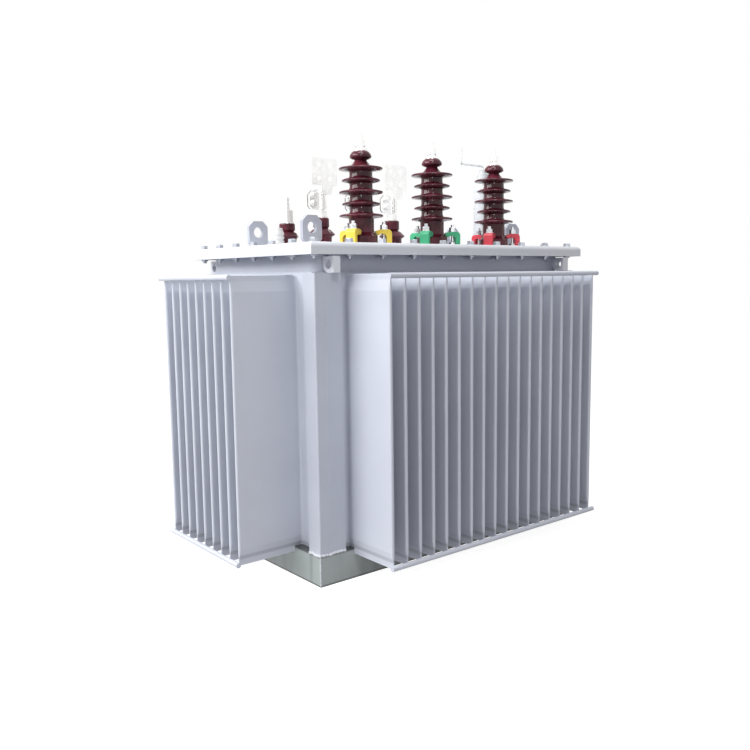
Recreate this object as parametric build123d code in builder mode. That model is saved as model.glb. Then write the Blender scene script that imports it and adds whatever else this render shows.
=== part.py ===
from build123d import *
import os

# Power transformer with a corrugated tank, in millimetres.
# Origin at the middle of the tank's underside, +X along the long sides, +Y away from the high voltage
# side, +Z up.

os.makedirs("parts", exist_ok=True)

# Tank: base box, corner posts and the wall that shows between the posts and the cover
tank_length = 983.0
tank_width = 593.0
base_height = 80.0
base_edge_round = 3.0
wall_setback = 27.5
shell_corner_radius = 35.0
shell_top = 826.5
post_top_gap = 45.5
post_front_face = 80.0
post_side_face = 48.0
post_edge_round = 4.0

# Corrugated walls
fin_pitch = 45.0
front_row_clearance = 5.0
side_row_clearance = 35.0
fin_thickness = 10.0
fin_pinched_thickness = 3.6
fin_pinch_length = 12.0
fin_taper_length = 26.0
fin_drop = 14.0
fin_top_gap = 6.0
fin_root_radius = 8.0
front_fin_depth = 178.5
side_fin_depth = 187.0
wall_sheet = 4.0
tie_bar_diameter = 13.0
tie_bar_overhang = 11.0
tie_bar_inset = 3.0

# Rim flange and cover
flange_thickness = 20.0
flange_inner_margin = 40.0
cover_end_overhang = 17.5
cover_side_overhang = 15.5
cover_sheet = 8.0
cover_rim_drop = 2.0
cover_rim_clearance = 1.0
cover_bend_radius = 12.0

# Lifting lugs on the cover
cover_lug_end_margin = 123.0
cover_lug_side_margin = 177.0
cover_lug_width = 60.0
cover_lug_height = 76.0
cover_lug_thickness = 12.0
cover_lug_chamfer = 15.0
cover_lug_hole_radius = 15.0
cover_lug_hole_height = 44.5

# Lifting eyes on the tank wall, standing on the corner posts
tank_eye_end_margin = 56.0
tank_eye_thickness = 20.0
tank_eye_depth = 44.0
tank_eye_gap = 6.0
tank_eye_round = 20.0
tank_eye_hole_radius = 11.0

# High voltage bushings, in a row along the front
hv_end_margin = 254.0
hv_row_margin = 132.0
hv_foot_radius = 43.0
hv_foot_height = 24.0
hv_shoulder_rise = 8.0
hv_shoulder_width = 9.5
hv_core_step = 3.0
hv_shed_count = 5
hv_first_shed_rise = 43.0
hv_shed_pitch = 30.5
hv_large_shed_radius = 58.5
hv_small_shed_radius = 51.0
hv_shed_rim = 2.0
hv_shed_underside = 7.0
hv_shed_lift = 1.2
hv_shed_root = 17.0
hv_shed_sag = 3.0
hv_top_cone_radius = 24.0
hv_top_cone_height = 11.0
hv_neck_radius = 15.5
hv_neck_rise = 11.0
hv_cap_rim_radius = 30.0
hv_cap_rim_rise = 8.0
hv_cap_rim_drop = 3.0
hv_cap_bulge_radius = 25.0
hv_cap_bulge_rise = 15.0
hv_cap_height = 28.0
hv_top_radius = 11.0

# High voltage terminals
hv_washer_radius = 15.0
hv_washer_thickness = 3.0
hv_nut_flat = 24.0
hv_nut_height = 12.0
hv_stud_radius = 6.0
hv_stud_length = 34.0

# Clamping claws, four round each high voltage bushing
claw_count = 3
claw_turn = 91.0
claw_width = 27.0
claw_toe_gap = 0.4
claw_toe_overlap = 7.0
claw_toe_thickness = 5.0
claw_lip = 2.0
claw_arm_rise = 15.5
claw_arch_rise = 4.5
claw_arch_drop = 4.0
claw_arch_reach = 13.0
claw_leg_reach = 23.0
claw_leg_thickness = 14.0
claw_bolt_reach = 17.0
claw_seat_half = 12.0
claw_back_round = 11.0
claw_edge_round = 2.0

# Low voltage bushings, in a row along the back: neutral first, then three phases
lv_spacing = 141.5
lv_neutral_spacing = 124.0
lv_row_margin = 145.5
lv_phase_body_radius = 24.5
lv_phase_body_top = 96.0
lv_phase_skirt_radius = 43.0
lv_phase_skirt_height = 46.0
lv_phase_foot_radius = 32.0
lv_phase_groove_height = 64.0
lv_neutral_body_radius = 23.5
lv_neutral_body_top = 75.0
lv_neutral_skirt_radius = 34.0
lv_neutral_skirt_height = 37.0
lv_neutral_foot_radius = 27.0
lv_neutral_groove_height = 51.0
lv_skirt_rim = 3.5
lv_skirt_drop = 9.0
lv_groove_depth = 4.0
lv_body_round = 4.0

# Low voltage studs, nuts and flag clamps
lv_stud_radius = 10.0
lv_washer_radius = 21.0
lv_washer_thickness = 4.0
lv_nut_flat = 34.0
lv_nut_height = 17.0
lv_phase_stud_rise = 7.0
lv_neutral_stud_rise = 38.0
clamp_barrel_radius = 19.0
clamp_gap = 4.0
clamp_height = 58.0
clamp_ear_reach = 48.0
clamp_ear_thickness = 11.0
clamp_slot = 4.0
clamp_ear_chamfer = 16.0
clamp_ear_lower_chamfer = 8.0
flag_width = 94.0
flag_rise = 12.0
flag_height = 81.0
flag_thickness = 12.0
flag_corner_radius = 8.0
flag_neck_width = 39.0
flag_neck_drop = 26.5
flag_neck_offset = 9.0
flag_clearance = 0.5
flag_hole_spacing = 40.0
flag_hole_radius = 6.5

# Filler pipe with its cap and crank lever
filler_end_margin = 113.0
filler_y = 0.0
filler_radius = 30.0
filler_wall_height = 197.0
filler_shoulder_rise = 10.0
filler_neck_radius = 12.0
filler_neck_rise = 22.0
filler_cap_radius = 19.0
filler_cap_height = 16.0
filler_tip_rise = 14.0
lever_rod_radius = 3.0
lever_rise = 12.0
lever_arm_length = 100.0
lever_upright_height = 52.0

# Ribbed thermometer pocket
pocket_end_margin = 149.0
pocket_row_gap = 96.0
pocket_radius = 18.5
pocket_groove = 2.0
pocket_rib_count = 4
pocket_rib_share = 0.6
pocket_height = 54.0
pocket_cap_height = 7.0

# Sizes that follow from the values above
shell_length = tank_length - 2 * wall_setback
shell_width = tank_width - 2 * wall_setback
sheet_front_y = shell_width / 2 + wall_sheet
sheet_side_x = shell_length / 2 + wall_sheet
cover_length = tank_length + 2 * cover_end_overhang
cover_width = tank_width + 2 * cover_side_overhang
cover_underside = shell_top + flange_thickness
cover_top = cover_underside + cover_sheet
cover_rim_bottom = shell_top - cover_rim_drop
post_top = shell_top - post_top_gap
front_fin_count = int((tank_length - 2 * (post_front_face + front_row_clearance)) // fin_pitch)
side_fin_count = int((tank_width - 2 * (post_side_face + side_row_clearance)) // fin_pitch)
fin_bottom = base_height - fin_drop
fin_top = post_top - fin_top_gap
cover_lug_x = cover_length / 2 - cover_lug_end_margin
cover_lug_y = cover_width / 2 - cover_lug_side_margin
tank_eye_x = tank_length / 2 - tank_eye_end_margin
hv_spacing = cover_length / 2 - hv_end_margin
hv_row_y = hv_row_margin - cover_width / 2
hv_lower_radius = hv_foot_radius - hv_shoulder_width
hv_core_radius = hv_lower_radius - hv_core_step
hv_shoulder_height = hv_foot_height + hv_shoulder_rise
hv_first_shed_height = hv_shoulder_height + hv_first_shed_rise
hv_last_shed_height = hv_first_shed_height + (hv_shed_count - 1) * hv_shed_pitch
hv_neck_height = hv_last_shed_height + hv_top_cone_height + hv_neck_rise
hv_cap_rim_height = hv_neck_height + hv_cap_rim_rise
hv_cap_bulge_height = hv_cap_rim_height + hv_cap_bulge_rise
hv_top_height = hv_cap_rim_height + hv_cap_height
claw_arm_top = hv_foot_height + claw_arm_rise
claw_arch_height = hv_foot_height + claw_arch_rise
claw_arch_spring = hv_foot_height - claw_arch_drop
claw_arch_middle = hv_foot_radius + claw_arch_reach
claw_leg_inner = hv_foot_radius + claw_leg_reach
claw_leg_outer = claw_leg_inner + claw_leg_thickness
claw_bolt_radius = hv_foot_radius + claw_bolt_reach
lv_row_y = cover_width / 2 - lv_row_margin
clamp_bottom = lv_phase_body_top + lv_washer_thickness + lv_nut_height + clamp_gap
clamp_top = clamp_bottom + clamp_height
flag_bottom = clamp_top + flag_rise
flag_top = flag_bottom + flag_height
flag_middle = (flag_bottom + flag_top) / 2
flag_neck_height = flag_neck_drop + flag_corner_radius
flag_offset = lv_stud_radius + flag_thickness / 2 + flag_clearance
lv_phase_stud_top = clamp_top + lv_phase_stud_rise
lv_neutral_nuts_top = lv_neutral_body_top + lv_washer_thickness + 2 * lv_nut_height
lv_neutral_stud_top = lv_neutral_nuts_top + lv_neutral_stud_rise
filler_x = cover_length / 2 - filler_end_margin
filler_shoulder_height = filler_wall_height + filler_shoulder_rise
filler_cap_bottom = filler_shoulder_height + filler_neck_rise
filler_cap_top = filler_cap_bottom + filler_cap_height
filler_neck_height = filler_cap_top + filler_tip_rise
lever_height = filler_neck_height + lever_rise
pocket_x = pocket_end_margin - cover_length / 2
pocket_y = lv_row_y - pocket_row_gap


def save(part, name):
    part.label = name
    export_step(part, f"parts/{name}.step")


def save_turned(part, turn, name):
    with BuildPart() as turned:
        with Locations(Location((0, 0, 0), (0, 0, turn))):
            add(part)
    save(turned.part, name)


def upright_plane(x, y):
    return Plane(origin=(x, y, cover_top), x_dir=(1, 0, 0), z_dir=(0, -1, 0))


def upright_axis(x, y):
    return Axis((x, y, cover_top), (0, 0, 1))


# Base box
with BuildPart() as base:
    with BuildSketch():
        Rectangle(tank_length, tank_width)
    extrude(amount=base_height)
    fillet(base.edges().filter_by(Axis.Z), radius=base_edge_round)
save(base.part, "tank_base")

# Tank wall above the base, solid because it is closed all round
with BuildPart() as shell:
    with BuildSketch(Plane.XY.offset(base_height)):
        RectangleRounded(shell_length, shell_width, shell_corner_radius)
    extrude(amount=shell_top - base_height)
save(shell.part, "tank_shell")

# Corner posts: angles that stand out from the wall and end below the rim
for side_x, side_name in ((-1, "left"), (1, "right")):
    for side_y, end_name in ((-1, "front"), (1, "back")):
        with BuildPart() as post:
            post_x = side_x * (tank_length - post_front_face) / 2
            post_y = side_y * (tank_width - post_side_face) / 2
            with BuildSketch(Plane.XY.offset(base_height)):
                with Locations((post_x, post_y)):
                    Rectangle(post_front_face, post_side_face)
                Rectangle(shell_length, shell_width, mode=Mode.SUBTRACT)
            extrude(amount=post_top - base_height)
            tank_corner = (side_x * tank_length / 2, side_y * tank_width / 2, post_top)
            uprights = post.edges().filter_by(Axis.Z).sort_by_distance(tank_corner)
            fillet(uprights[0], radius=post_edge_round)
        save(post.part, f"corner_post_{end_name}_{side_name}")


def fin(reach, root):
    """One fin that bends out of the sheet along -Y, pinched flat at its top and bottom."""
    pinch_bottom = fin_bottom + fin_pinch_length
    pinch_top = fin_top - fin_pinch_length
    sections = (
        (fin_bottom, fin_pinched_thickness),
        (pinch_bottom, fin_pinched_thickness),
        (pinch_bottom + fin_taper_length, fin_thickness),
        (pinch_top - fin_taper_length, fin_thickness),
        (pinch_top, fin_pinched_thickness),
        (fin_top, fin_pinched_thickness),
    )
    with BuildPart() as one_fin:
        for height, thickness in sections:
            with BuildSketch(Plane.XY.offset(height)):
                side = thickness / 2
                spread = side + fin_root_radius
                bend_end = -root - fin_root_radius
                with BuildLine():
                    Line((-spread, -root), (spread, -root))
                    RadiusArc((spread, -root), (side, bend_end), -fin_root_radius)
                    Line((side, bend_end), (side, side - reach))
                    ThreePointArc((side, side - reach), (0, -reach), (-side, side - reach))
                    Line((-side, side - reach), (-side, bend_end))
                    RadiusArc((-side, bend_end), (-spread, -root), -fin_root_radius)
                make_face()
        loft(ruled=True)
    return one_fin.part


def fin_wall(count, reach, root, span, base_edge):
    """A row of fins on their sheet, facing -Y, notched over the base box."""
    one_fin = fin(reach, root)
    with BuildPart() as wall:
        with BuildSketch(Plane.XY.offset(base_height)):
            with Locations((0, -root)):
                Rectangle(span, wall_sheet, align=(Align.CENTER, Align.MIN))
        extrude(amount=post_top - base_height)
        with GridLocations(fin_pitch, 0, count, 1):
            add(one_fin)
        with BuildSketch(Plane.XY):
            with Locations((0, -base_edge)):
                Rectangle(2 * span, base_edge, align=(Align.CENTER, Align.MIN))
        extrude(amount=base_height, mode=Mode.SUBTRACT)
    return wall.part


def tie_bars(count, reach):
    """Two round bars across the tips of a row of fins, one near the top and one near the bottom."""
    length = (count - 1) * fin_pitch + 2 * tie_bar_overhang
    with BuildPart() as bars:
        for height in (fin_bottom + tie_bar_inset, fin_top - tie_bar_inset):
            with BuildSketch(Plane.YZ.offset(-length / 2)):
                with Locations((-reach - tie_bar_diameter / 2, height)):
                    Circle(tie_bar_diameter / 2)
            extrude(amount=length)
    return bars.part


front_wall = fin_wall(
    front_fin_count,
    sheet_front_y + front_fin_depth,
    sheet_front_y,
    tank_length - 2 * post_front_face,
    tank_width / 2,
)
side_wall = fin_wall(
    side_fin_count,
    sheet_side_x + side_fin_depth,
    sheet_side_x,
    tank_width - 2 * post_side_face,
    tank_length / 2,
)
front_bars = tie_bars(front_fin_count, sheet_front_y + front_fin_depth)
side_bars = tie_bars(side_fin_count, sheet_side_x + side_fin_depth)
for turn, side_name, wall, bars in (
    (0, "front", front_wall, front_bars),
    (180, "back", front_wall, front_bars),
    (-90, "left", side_wall, side_bars),
    (90, "right", side_wall, side_bars),
):
    save_turned(wall, turn, f"fin_wall_{side_name}")
    save_turned(bars, turn, f"tie_bars_{side_name}")

# Rim flange that the cover is bolted to
with BuildPart() as flange:
    inside = 2 * (cover_sheet + cover_rim_clearance)
    with BuildSketch(Plane.XY.offset(shell_top)):
        Rectangle(cover_length - inside, cover_width - inside)
        Rectangle(
            shell_length - 2 * flange_inner_margin,
            shell_width - 2 * flange_inner_margin,
            mode=Mode.SUBTRACT,
        )
    extrude(amount=flange_thickness)
save(flange.part, "rim_flange")

# Cover bent from one sheet, with a turned-down rim round the flange
with BuildPart() as cover:
    with BuildSketch(Plane.XY.offset(cover_rim_bottom)):
        Rectangle(cover_length, cover_width)
    extrude(amount=cover_top - cover_rim_bottom)
    fillet(cover.edges().group_by(Axis.Z)[-1], radius=cover_bend_radius)
    with BuildSketch(Plane.XY.offset(cover_rim_bottom)):
        Rectangle(cover_length - 2 * cover_sheet, cover_width - 2 * cover_sheet)
    extrude(amount=cover_underside - cover_rim_bottom, mode=Mode.SUBTRACT)
save(cover.part, "cover")

# Lifting lugs on the cover
for lug_y, end_name in ((-cover_lug_y, "front"), (cover_lug_y, "back")):
    with BuildPart() as lugs:
        for lug_x in (-cover_lug_x, cover_lug_x):
            with BuildSketch(Plane.XZ.offset(-lug_y - cover_lug_thickness / 2)):
                with Locations((lug_x, cover_top)):
                    lug = Rectangle(
                        cover_lug_width,
                        cover_lug_height,
                        align=(Align.CENTER, Align.MIN),
                    )
                chamfer(lug.vertices().group_by(Axis.Z)[-1], length=cover_lug_chamfer)
                with Locations((lug_x, cover_top + cover_lug_hole_height)):
                    Circle(cover_lug_hole_radius, mode=Mode.SUBTRACT)
            extrude(amount=cover_lug_thickness)
    save(lugs.part, f"cover_lugs_{end_name}")

# Lifting eyes under the rim, rounded at their outer top corner
for side_y, end_name in ((-1, "front"), (1, "back")):
    with BuildPart() as eyes:
        eye_height = shell_top - tank_eye_gap - post_top
        eye_middle = side_y * (shell_width + tank_eye_depth) / 2
        for eye_x in (-tank_eye_x, tank_eye_x):
            with BuildSketch(Plane.YZ.offset(eye_x - tank_eye_thickness / 2)):
                with Locations((eye_middle, post_top + eye_height / 2)):
                    eye = Rectangle(tank_eye_depth, eye_height)
                    outer_top = (side_y * cover_width, post_top + eye_height)
                    corner = eye.vertices().sort_by_distance((0, *outer_top))[0]
                    fillet(corner, radius=tank_eye_round)
                    Circle(tank_eye_hole_radius, mode=Mode.SUBTRACT)
            extrude(amount=tank_eye_thickness)
    save(eyes.part, f"tank_eyes_{end_name}")

# High voltage bushings, their terminals and the claws that hold them down
for index, phase in ((-1, "a"), (0, "b"), (1, "c")):
    centre = (index * hv_spacing, hv_row_y)
    with BuildPart() as bushing:
        with BuildSketch(upright_plane(*centre)):
            with BuildLine():
                Polyline(
                    (0, 0),
                    (hv_foot_radius, 0),
                    (hv_foot_radius, hv_foot_height),
                    (hv_lower_radius, hv_shoulder_height),
                    (hv_lower_radius, hv_first_shed_height - hv_shed_underside),
                )
                below = hv_lower_radius
                for shed in range(hv_shed_count):
                    rim = hv_small_shed_radius if shed % 2 else hv_large_shed_radius
                    last = shed == hv_shed_count - 1
                    above = hv_top_cone_radius if last else hv_core_radius
                    height = hv_first_shed_height + shed * hv_shed_pitch
                    root = height + (hv_top_cone_height if last else hv_shed_root)
                    under = ((rim + below) / 2, height - hv_shed_underside / 2 + hv_shed_lift)
                    middle = ((rim + above) / 2, (height + root) / 2 - hv_shed_sag)
                    rim_low = (rim - hv_shed_rim, height - hv_shed_rim)
                    rim_high = (rim - hv_shed_rim, height + hv_shed_rim)
                    ThreePointArc((below, height - hv_shed_underside), under, rim_low)
                    ThreePointArc(rim_low, (rim, height), rim_high)
                    ThreePointArc(rim_high, middle, (above, root))
                    if not last:
                        Line((above, root), (above, height + hv_shed_pitch - hv_shed_underside))
                    below = above
                Polyline(
                    (above, root),
                    (hv_neck_radius, hv_neck_height),
                    (hv_cap_rim_radius - hv_cap_rim_drop, hv_cap_rim_height - hv_cap_rim_drop),
                    (hv_cap_rim_radius, hv_cap_rim_height),
                )
                ThreePointArc(
                    (hv_cap_rim_radius, hv_cap_rim_height),
                    (hv_cap_bulge_radius, hv_cap_bulge_height),
                    (hv_top_radius, hv_top_height),
                )
                Polyline((hv_top_radius, hv_top_height), (0, hv_top_height), (0, 0))
            make_face()
        revolve(axis=upright_axis(*centre))
    save(bushing.part, f"hv_bushing_{phase}")

    with BuildPart() as terminal:
        with BuildSketch(Plane.XY.offset(cover_top + hv_top_height)):
            with Locations(centre):
                Circle(hv_washer_radius)
        extrude(amount=hv_washer_thickness)
        with BuildSketch(Plane.XY.offset(cover_top + hv_top_height + hv_washer_thickness)):
            with Locations(centre):
                RegularPolygon(hv_nut_flat / 2, 6, major_radius=False)
        extrude(amount=hv_nut_height)
        with BuildSketch(Plane.XY.offset(cover_top + hv_top_height)):
            with Locations(centre):
                Circle(hv_stud_radius)
        extrude(amount=hv_stud_length)
    save(terminal.part, f"hv_terminal_{phase}")

    with BuildPart() as claw:
        with BuildSketch(Plane.XZ.offset(-claw_width / 2)):
            slope = (hv_shoulder_height - hv_foot_height) / (hv_foot_radius - hv_lower_radius)
            toe_tip = hv_foot_radius - claw_toe_overlap
            toe_low = hv_foot_height + claw_toe_overlap * slope + claw_toe_gap
            lip = hv_foot_radius + claw_lip
            lip_low = hv_foot_height + claw_toe_gap
            with BuildLine():
                Polyline((claw_leg_inner, claw_arch_spring), (claw_leg_inner, 0), (claw_leg_outer, 0))
                Line((claw_leg_outer, 0), (claw_leg_outer, claw_arm_top - claw_back_round))
                RadiusArc(
                    (claw_leg_outer, claw_arm_top - claw_back_round),
                    (claw_leg_outer - claw_back_round, claw_arm_top),
                    -claw_back_round,
                )
                Polyline(
                    (claw_leg_outer - claw_back_round, claw_arm_top),
                    (claw_bolt_radius - claw_seat_half, claw_arm_top),
                    (toe_tip, toe_low + claw_toe_thickness),
                    (toe_tip, toe_low),
                    (hv_foot_radius, lip_low),
                    (lip, lip_low),
                )
                ThreePointArc(
                    (lip, lip_low),
                    (claw_arch_middle, claw_arch_height),
                    (claw_leg_inner, claw_arch_spring),
                )
            make_face()
        extrude(amount=claw_width)
        fillet(claw.edges().filter_by(Axis.Z).sort_by(Axis.X)[-2:], radius=claw_edge_round)
    with BuildPart() as claw_set:
        with Locations((*centre, cover_top)):
            with PolarLocations(0, claw_count, start_angle=claw_turn):
                add(claw.part)
    save(claw_set.part, f"hv_claws_{phase}")


def lv_bushing(centre, body_radius, body_top, skirt_radius, skirt_height, foot_radius, groove_height):
    """A short bushing: straight body, groove and one drooping skirt over its foot."""
    with BuildPart() as bushing:
        with BuildSketch(upright_plane(*centre)):
            with BuildLine():
                Polyline(
                    (0, 0),
                    (foot_radius, 0),
                    (foot_radius, skirt_height - lv_skirt_drop),
                    (skirt_radius - lv_skirt_rim, skirt_height - lv_skirt_rim),
                    (skirt_radius, skirt_height),
                    (skirt_radius - lv_skirt_rim, skirt_height + lv_skirt_rim),
                    (body_radius + lv_groove_depth, groove_height - lv_groove_depth),
                    (body_radius - lv_groove_depth, groove_height),
                    (body_radius, groove_height + lv_groove_depth),
                    (body_radius, body_top),
                    (0, body_top),
                    close=True,
                )
            make_face()
        revolve(axis=upright_axis(*centre))
        fillet(bushing.edges().group_by(Axis.Z)[-1], radius=lv_body_round)
    return bushing.part


def lv_stud(centre, seat, top, nut_count):
    """A stud with a washer and one or two hexagon nuts on the bushing's top."""
    with BuildPart() as stud:
        with BuildSketch(Plane.XY.offset(seat)):
            with Locations(centre):
                Circle(lv_washer_radius)
        extrude(amount=lv_washer_thickness)
        with BuildSketch(Plane.XY.offset(seat + lv_washer_thickness)):
            with Locations(centre):
                RegularPolygon(lv_nut_flat / 2, 6, major_radius=False)
        extrude(amount=nut_count * lv_nut_height)
        with BuildSketch(Plane.XY.offset(seat)):
            with Locations(centre):
                Circle(lv_stud_radius)
        extrude(amount=top - seat)
    return stud.part


# Low voltage row: neutral with a bare stud
neutral_centre = (-lv_spacing - lv_neutral_spacing, lv_row_y)
neutral_bushing = lv_bushing(
    neutral_centre,
    lv_neutral_body_radius,
    lv_neutral_body_top,
    lv_neutral_skirt_radius,
    lv_neutral_skirt_height,
    lv_neutral_foot_radius,
    lv_neutral_groove_height,
)

save(neutral_bushing, "lv_bushing_n")
neutral_stud = lv_stud(
    neutral_centre, cover_top + lv_neutral_body_top, cover_top + lv_neutral_stud_top, 2
)
save(neutral_stud, "lv_stud_n")

# Low voltage row: phases with flag clamps on their studs
for index, phase in ((-1, "a"), (0, "b"), (1, "c")):
    centre = (index * lv_spacing, lv_row_y)
    phase_bushing = lv_bushing(
        centre,
        lv_phase_body_radius,
        lv_phase_body_top,
        lv_phase_skirt_radius,
        lv_phase_skirt_height,
        lv_phase_foot_radius,
        lv_phase_groove_height,
    )
    save(phase_bushing, f"lv_bushing_{phase}")
    phase_stud = lv_stud(centre, cover_top + lv_phase_body_top, cover_top + lv_phase_stud_top, 1)
    save(phase_stud, f"lv_stud_{phase}")
    with BuildPart() as clamp:
        with BuildSketch(Plane.XY.offset(cover_top + clamp_bottom)):
            with Locations(centre):
                Circle(clamp_barrel_radius)
                Rectangle(
                    clamp_ear_reach,
                    2 * clamp_ear_thickness + clamp_slot,
                    align=(Align.MAX, Align.CENTER),
                )
                Rectangle(
                    clamp_ear_reach,
                    clamp_slot,
                    align=(Align.MAX, Align.CENTER),
                    mode=Mode.SUBTRACT,
                )
                Circle(lv_stud_radius, mode=Mode.SUBTRACT)
        extrude(amount=clamp_top - clamp_bottom)
        ear_tips = clamp.edges().filter_by(Axis.Y).group_by(Axis.X)[0].group_by(Axis.Z)[-1]
        chamfer(ear_tips, length=clamp_ear_chamfer)
        ear_feet = clamp.edges().filter_by(Axis.Y).group_by(Axis.X)[0].group_by(Axis.Z)[0]
        chamfer(ear_feet, length=clamp_ear_lower_chamfer)
        plate_y = centre[1] - flag_offset
        with BuildSketch(Plane.XZ.offset(-plate_y - flag_thickness / 2)):
            with Locations((centre[0], cover_top + flag_middle)):
                RectangleRounded(flag_width, flag_height, flag_corner_radius)
            neck_middle = flag_bottom - flag_neck_drop + flag_neck_height / 2
            with Locations((centre[0] + flag_neck_offset, cover_top + neck_middle)):
                RectangleRounded(flag_neck_width, flag_neck_height, flag_corner_radius)
            with Locations((centre[0], cover_top + flag_middle)):
                with GridLocations(flag_hole_spacing, flag_hole_spacing, 2, 2):
                    Circle(flag_hole_radius, mode=Mode.SUBTRACT)
        extrude(amount=flag_thickness)
    save(clamp.part, f"lv_flag_{phase}")

# Filler pipe and its crank lever
with BuildPart() as filler:
    with BuildSketch(upright_plane(filler_x, filler_y)):
        with BuildLine():
            Polyline(
                (0, 0),
                (filler_radius, 0),
                (filler_radius, filler_wall_height),
                (filler_neck_radius, filler_shoulder_height),
                (filler_neck_radius, filler_cap_bottom),
                (filler_cap_radius, filler_cap_bottom),
                (filler_cap_radius, filler_cap_top),
                (filler_neck_radius, filler_cap_top),
                (filler_neck_radius, filler_neck_height),
                (0, filler_neck_height),
                close=True,
            )
        make_face()
    revolve(axis=upright_axis(filler_x, filler_y))
save(filler.part, "filler_pipe")

with BuildPart() as lever:
    with BuildLine() as lever_path:
        FilletPolyline(
            (filler_x, filler_y, cover_top + filler_neck_height),
            (filler_x, filler_y, cover_top + lever_height),
            (filler_x - lever_arm_length, filler_y, cover_top + lever_height),
            (filler_x - lever_arm_length, filler_y, cover_top + lever_height + lever_upright_height),
            radius=2 * lever_rod_radius,
        )
    with BuildSketch(Plane(origin=lever_path.line @ 0, z_dir=lever_path.line % 0)):
        Circle(lever_rod_radius)
    sweep()
save(lever.part, "filler_lever")

# Thermometer pocket with ribs round its body
with BuildPart() as pocket:
    with BuildSketch(upright_plane(pocket_x, pocket_y)):
        with BuildLine():
            rib_pitch = (pocket_height - pocket_cap_height) / pocket_rib_count
            outline = [(0, 0)]
            for rib in range(pocket_rib_count):
                outline += [
                    (pocket_radius, rib * rib_pitch),
                    (pocket_radius, (rib + pocket_rib_share) * rib_pitch),
                    (pocket_radius - pocket_groove, (rib + pocket_rib_share) * rib_pitch),
                    (pocket_radius - pocket_groove, (rib + 1) * rib_pitch),
                ]
            outline += [
                (pocket_radius - 2 * pocket_groove, pocket_height - pocket_cap_height),
                (pocket_radius - 2 * pocket_groove, pocket_height),
                (0, pocket_height),
            ]
            Polyline(*outline, close=True)
        make_face()
    revolve(axis=upright_axis(pocket_x, pocket_y))
save(pocket.part, "thermometer_pocket")
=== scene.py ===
import math

import bpy
from mathutils import Matrix, Vector


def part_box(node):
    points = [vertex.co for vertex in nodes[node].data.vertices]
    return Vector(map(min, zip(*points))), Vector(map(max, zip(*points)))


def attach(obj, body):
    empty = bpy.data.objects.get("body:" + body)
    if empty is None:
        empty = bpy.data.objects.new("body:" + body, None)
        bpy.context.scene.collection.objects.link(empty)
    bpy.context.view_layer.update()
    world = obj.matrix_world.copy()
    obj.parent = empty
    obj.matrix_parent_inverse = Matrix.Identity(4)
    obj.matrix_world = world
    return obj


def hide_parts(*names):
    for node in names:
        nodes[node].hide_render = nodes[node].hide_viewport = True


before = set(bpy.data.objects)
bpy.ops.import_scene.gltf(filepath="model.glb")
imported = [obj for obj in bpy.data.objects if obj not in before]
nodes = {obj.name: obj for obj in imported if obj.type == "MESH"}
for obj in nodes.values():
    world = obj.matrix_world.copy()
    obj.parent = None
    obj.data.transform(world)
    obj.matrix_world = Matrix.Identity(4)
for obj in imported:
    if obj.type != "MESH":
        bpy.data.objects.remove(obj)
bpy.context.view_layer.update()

scene = bpy.context.scene
print("frame loaded:", len(nodes), "nodes")


# Camera, at the photograph's viewing angle

cameraView = {
    "place": (-1.5956, -1.8969, 0.7700),
    "turn": 38.788,  # degrees from +Y towards +X
    "tilt": 6.944,  # degrees down
    "roll": -0.748,
    "lens": 38.80,
    "sensor": 36.0,
    "farEnd": 200,
}


def aimCamera(view):
    turn, tilt, roll = (math.radians(view[name]) for name in ("turn", "tilt", "roll"))
    forward = Vector((math.sin(turn) * math.cos(tilt), math.cos(turn) * math.cos(tilt), -math.sin(tilt)))
    level = Vector((math.cos(turn), -math.sin(turn), 0))
    upward = level.cross(forward)
    right = math.cos(roll) * level + math.sin(roll) * upward
    top = -math.sin(roll) * level + math.cos(roll) * upward
    lensData = bpy.data.cameras.new("photoCamera")
    lensData.sensor_width = view["sensor"]
    lensData.lens = view["lens"]
    lensData.clip_end = view["farEnd"]
    camera = bpy.data.objects.new("photoCamera", lensData)
    matrix = Matrix((right, top, -forward)).transposed().to_4x4()
    matrix.translation = Vector(view["place"])
    camera.matrix_world = matrix
    scene.collection.objects.link(camera)
    scene.camera = camera


aimCamera(cameraView)
scene.view_settings.view_transform = "Standard"
print("camera set")


# Colours, and the one function that adds a node

def linearColour(hexText):
    parts = [int(hexText[i:i + 2], 16) / 255 for i in (1, 3, 5)]
    return tuple(p / 12.92 if p <= 0.04045 else ((p + 0.055) / 1.055) ** 2.4 for p in parts) + (1.0,)


def addNode(tree, kind, settings=None, links=None):
    node = tree.nodes.new(kind)
    for name, value in (settings or {}).items():
        if isinstance(name, str) and name in node.bl_rna.properties:
            setattr(node, name, value)
        else:
            node.inputs[name].default_value = value
    for name, source in (links or {}).items():
        tree.links.new(source, node.inputs[name])
    return node


def newMaterial(name):
    material = bpy.data.materials.new(name)
    material.use_nodes = True
    material.node_tree.nodes.clear()
    return material, material.node_tree


# Studio: pale floor, soft light from the left, in front and above, and white surroundings

studio = {
    "floorColour": "#A8A8A8",
    "floorGlow": 0.90,
    "floorReach": 30,
    "backdrop": "#FFFFFF",
    "surroundings": 0.26,
    "lamps": {
        "leftSoftbox": {"place": (-4.7, 1.3, 3.8), "aim": (-0.3, -0.2, 0.45), "size": (5.8, 2.9), "power": 408},
        "frontSoftbox": {"place": (-1.1, -2.5, 3.8), "aim": (0, 0, 0.7), "size": (1.1, 0.6), "power": 35},
        "glintPanel": {"place": (-2.3, -3.0, 1.6), "aim": (0, 0, 1.0), "size": (0.30, 0.60), "power": 9},
        "ceilingSoftbox": {"place": (-0.5, -0.6, 3.6), "aim": (0, 0, 0.8), "size": (1.5, 1.1), "power": 34},
    },
}


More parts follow.
